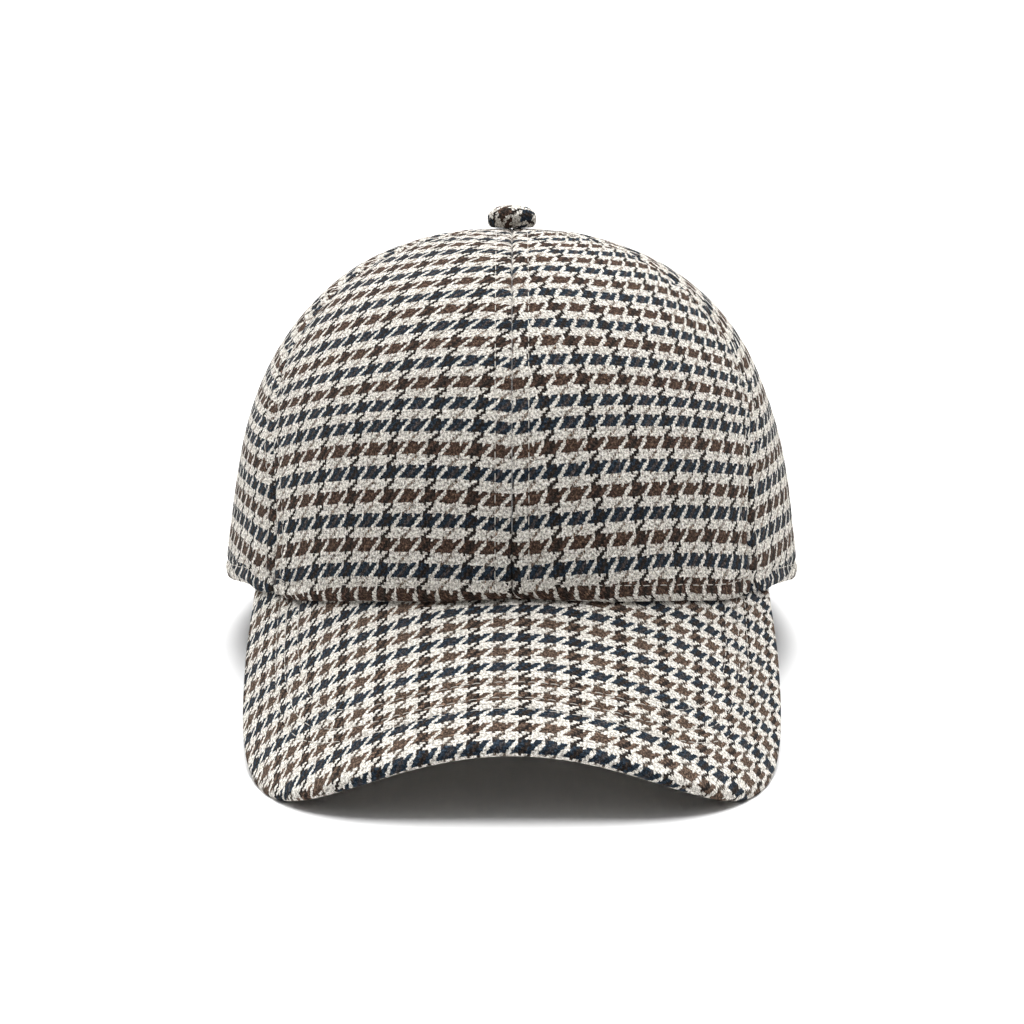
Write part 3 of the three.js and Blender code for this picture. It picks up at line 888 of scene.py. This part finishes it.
def houndstooth(name, slip_row, brown, tan, tan_show, dirt):
    """Two-up two-down twill of four-thread groups, from the piece's thread counts.

    Warp groups run dark, cream, tan, cream; weft groups run cream and coloured, navy and brown in turn,
    and the turn slips once, at slip_row. Threads are rounded floats, with hairs and flecks over them.
    tan_show is how much of the tan shows at least, and dirt the strength of the dark flecks.
    """
    n = Nodes(name)
    source = n.tree.nodes.new("ShaderNodeAttribute")
    source.attribute_name = "cloth"
    place = source.outputs["Vector"]
    split = n.tree.nodes.new("ShaderNodeSeparateXYZ")
    n.put(split.inputs[0], place)
    across, up = split.outputs[0], split.outputs[1]
    elsewhere = n.combine(n.add(across, ELSEWHERE[0]), n.add(up, ELSEWHERE[1]))

    # Thread counts with the cloth's unevenness, where coloured weft groups are a little wider
    u = uneven_count(n, across, place, WARP_WANDER)
    v = uneven_count(n, up, elsewhere, WEFT_WANDER)
    v = n.add(v, n.multiply(n.math("COSINE", n.multiply(v, np.pi / GROUP)), -COLOURED_GAIN))
    i = n.math("FLOOR", u)
    j = n.math("FLOOR", v)

    # Colour of the warp and of the weft at each place
    warp_group = n.modulo(n.whole(i, GROUP), 4.0)
    weft_group = n.modulo(n.whole(j, GROUP), 2.0)
    row = n.whole(j, 2 * GROUP)
    slipped = n.math("GREATER_THAN", row, slip_row - 0.5)
    turn = n.modulo(n.add(row, slipped), 2.0)
    weft_colour = n.mix(weft_group, CREAM, n.mix(turn, brown, NAVY))
    is_dark = n.math("LESS_THAN", warp_group, 0.5)
    is_tan = n.math("COMPARE", warp_group, 2.0, 0.25)
    is_cream = n.modulo(warp_group, 2.0)
    streaks = n.combine(n.multiply(across, STREAK_SHRINK[0]), n.multiply(up, STREAK_SHRINK[1]))
    tan_seen = n.range(n.noise(streaks, *STREAK_NOISE), *STREAK_CUT, tan_show, 1.0)
    tan_cover = n.multiply(tan_seen, n.range(weft_group, 0.0, 1.0, 1.0, TAN_OVER_COLOUR))
    thin_tan = n.mix(tan_cover, weft_colour, tan)
    warp_colour = n.mix(is_tan, n.mix(is_dark, CREAM, DARK_BROWN), thin_tan)

    # The twill line: partly stepped from thread to thread, partly drawn straight by the yarns' roundness
    stepped = n.multiply(n.subtract(i, j), 1 - LINE_STRAIGHTNESS)
    straight = n.multiply(n.subtract(u, v), LINE_STRAIGHTNESS)
    line = n.modulo(n.add(n.add(stepped, straight), 0.5), GROUP)
    cream_narrowing = n.multiply(n.multiply(is_cream, weft_group), CREAM_NARROWING)
    narrowing = n.add(cream_narrowing, n.multiply(is_tan, TAN_NARROWING * (1 - tan_show)))
    warp_up = n.math("COMPARE", line, 1.0, n.subtract(1.0, narrowing))
    colour = n.mix(warp_up, weft_colour, warp_colour)

    # Each yarn has its own shade, hairs run along it, and pale and dark flecks lie over all
    shade = n.either(warp_up, n.chance(n.add(i, 0.5)), n.chance(n.add(j, WEFT_CHANCE_AT)))
    warp_hair = n.noise(n.combine(n.multiply(u, HAIR_THINNESS), v), *HAIR_NOISE)
    weft_hair = n.noise(n.combine(u, n.multiply(v, HAIR_THINNESS), WEFT_HAIR_AT), *HAIR_NOISE)
    hair = n.either(warp_up, warp_hair, weft_hair)
    grit = n.noise(place, *GRIT_NOISE)
    yarn_tone = n.add(n.range(shade, 0.0, 1.0, *YARN_SHADES), n.range(hair, *HAIR_TONES))
    tone = n.add(yarn_tone, n.range(grit, *GRIT_TONES))
    toned = n.mix(1.0, colour, n.combine(tone, tone, tone), "MULTIPLY")
    pale_fleck = n.range(grit, *PALE_FLECKS)
    dark_fleck = n.range(n.noise(elsewhere, *DARK_FLECK_NOISE), *DARK_FLECK_CUT, 0.0, dirt)
    flecked = n.mix(pale_fleck, toned, n.mix(1.0, toned, PALE_HAIR, "DODGE"))
    flecked = n.mix(dark_fleck, flecked, DARK_HAIR, "MULTIPLY")
    n.put(n.shader.inputs["Base Color"], flecked)

    # Relief: each float is a rounded bar two threads long, with the hairs on it
    warp_bar = float_bar(n, u, n.modulo(n.subtract(n.add(i, 1.0), v), GROUP))
    weft_bar = float_bar(n, v, n.subtract(n.modulo(n.subtract(u, j), GROUP), 2.0))
    bar = n.either(warp_up, warp_bar, weft_bar)
    bump = n.tree.nodes.new("ShaderNodeBump")
    n.put(bump.inputs["Strength"], BUMP_STRENGTH)
    n.put(bump.inputs["Distance"], BUMP_HEIGHT * MILLIMETRE)
    n.put(bump.inputs["Height"], n.add(bar, n.multiply(n.subtract(hair, 0.5), HAIR_RELIEF)))
    n.put(n.shader.inputs["Normal"], bump.outputs[0])
    n.finish(WOOL_ROUGHNESS, WOOL_SPECULAR)
    n.shader.inputs["Sheen Weight"].default_value = SHEEN_WEIGHT
    n.shader.inputs["Sheen Roughness"].default_value = SHEEN_ROUGHNESS
    n.shader.inputs["Sheen Tint"].default_value = SHEEN_TINT
    return n.material


def thread_finish():
    """Matt cream sewing thread, a little uneven along its length."""
    n = Nodes("sewing_thread")
    place = n.tree.nodes.new("ShaderNodeTexCoord").outputs["Object"]
    shade = n.range(n.noise(place, THREAD_GRAIN, 2.0), *THREAD_SHADES)
    n.put(n.shader.inputs["Base Color"], n.mix(1.0, THREAD, n.combine(shade, shade, shade), "MULTIPLY"))
    n.finish(THREAD_ROUGHNESS, THREAD_SPECULAR)
    return n.material


def floor_finish():
    """Plain pale matt floor."""
    n = Nodes("pale_floor")
    n.put(n.shader.inputs["Base Color"], FLOOR_COLOUR)
    n.finish(FLOOR_ROUGHNESS, FLOOR_SPECULAR)
    return n.material


# Camera, floor and light

def add_camera():
    """Camera at the viewing angle, carried from the cap's frame to the floor's."""
    towards = np.array([0, -np.cos(CAMERA_ELEVATION), np.sin(CAMERA_ELEVATION)])
    place = leaned(CAMERA_TARGET + CAMERA_DISTANCE * towards) * MILLIMETRE
    target = leaned(CAMERA_TARGET) * MILLIMETRE
    data = bpy.data.cameras.new("camera")
    data.lens = CAMERA_FOCAL_RATIO * SENSOR_WIDTH
    data.sensor_width = SENSOR_WIDTH
    data.clip_start = CAMERA_CLIP_START
    data.clip_end = CAMERA_CLIP_END
    camera = bpy.data.objects.new("camera", data)
    camera.location = place
    camera.rotation_euler = (Vector(target) - Vector(place)).to_track_quat("-Z", "Y").to_euler()
    bpy.context.scene.collection.objects.link(camera)
    bpy.context.scene.camera = camera


def add_floor():
    """One flat square under the cap."""
    corners = FLOOR_HALF_WIDTH * np.array([[-1, -1, 0], [1, -1, 0], [1, 1, 0], [-1, 1, 0]])
    floor = mesh_piece("floor", corners, np.array([[0, 1, 2, 3]]), floor_finish())


def add_light():
    """White surround that brightens evenly from front to back, and one broad lamp overhead."""
    world = bpy.data.worlds.new("studio")
    world.use_nodes = True
    background = world.node_tree.nodes["Background"]
    background.inputs["Color"].default_value = (1.0, 1.0, 1.0, 1.0)
    where = world.node_tree.nodes.new("ShaderNodeTexCoord")
    split = world.node_tree.nodes.new("ShaderNodeSeparateXYZ")
    glow = world.node_tree.nodes.new("ShaderNodeMapRange")
    world.node_tree.links.new(where.outputs["Generated"], split.inputs[0])
    world.node_tree.links.new(split.outputs["Y"], glow.inputs["Value"])
    glow.inputs["From Min"].default_value = -AMBIENT_TURN
    glow.inputs["From Max"].default_value = AMBIENT_TURN
    glow.inputs["To Min"].default_value = AMBIENT_FRONT
    glow.inputs["To Max"].default_value = AMBIENT_BACK
    world.node_tree.links.new(glow.outputs[0], background.inputs["Strength"])
    bpy.context.scene.world = world
    data = bpy.data.lights.new("overhead", "SUN")
    data.energy = OVERHEAD
    data.angle = OVERHEAD_SPREAD
    light = bpy.data.objects.new("overhead", data)
    light.rotation_euler = (OVERHEAD_TILT, 0, 0)
    bpy.context.scene.collection.objects.link(light)


# The panels' seams, each a function from lift to the angle round the crown

def centre_front(lift):
    return 0.0 * lift


def centre_back(lift):
    return 0.0 * lift + np.pi


def right_front(lift):
    return seam_angle(FRONT_SEAM, lift)


def right_back(lift):
    return seam_angle(BACK_SEAM, lift)


def left(seam):
    """The same seam on the other side."""
    return lambda lift: -seam(lift)


# The cap

bpy.context.scene.view_settings.view_transform = "Standard"
add_camera()

crown_wool = houndstooth("crown_wool", CROWN_SLIP_ROW, BROWN, TAN, CROWN_TAN_SHOW, CROWN_DIRT)
peak_wool = houndstooth("peak_wool", PEAK_SLIP_ROW, PEAK_BROWN, PEAK_TAN, PEAK_TAN_SHOW, PEAK_DIRT)
button_wool = houndstooth("button_wool", BUTTON_SLIP_ROW, BROWN, TAN, CROWN_TAN_SHOW, BUTTON_DIRT)
thread = thread_finish()

left_grain = front_grain(-1, ROW_FALL_LEFT, FRONT_WARP_LEFT)
right_grain = front_grain(1, ROW_FALL_RIGHT, FRONT_WARP_RIGHT)
plain_grain = middle_grain(MIDDLE_WARP, MIDDLE_ROW)
back_right_grain = middle_grain(BACK_RIGHT_WARP, MIDDLE_ROW)
panels = [
    Panel("front_panel_left", left(right_front), centre_front, left_grain),
    Panel("front_panel_right", centre_front, right_front, right_grain),
    Panel("side_panel_left", left(right_back), left(right_front), plain_grain),
    Panel("side_panel_right", right_front, right_back, plain_grain),
    Panel("back_panel_left", left(centre_back), left(right_back), plain_grain),
    Panel("back_panel_right", right_back, centre_back, back_right_grain),
]
for panel in panels:
    add_panel(panel, crown_wool, thread)
add_peak(peak_wool, thread)
add_button(button_wool)
add_floor()
add_light()
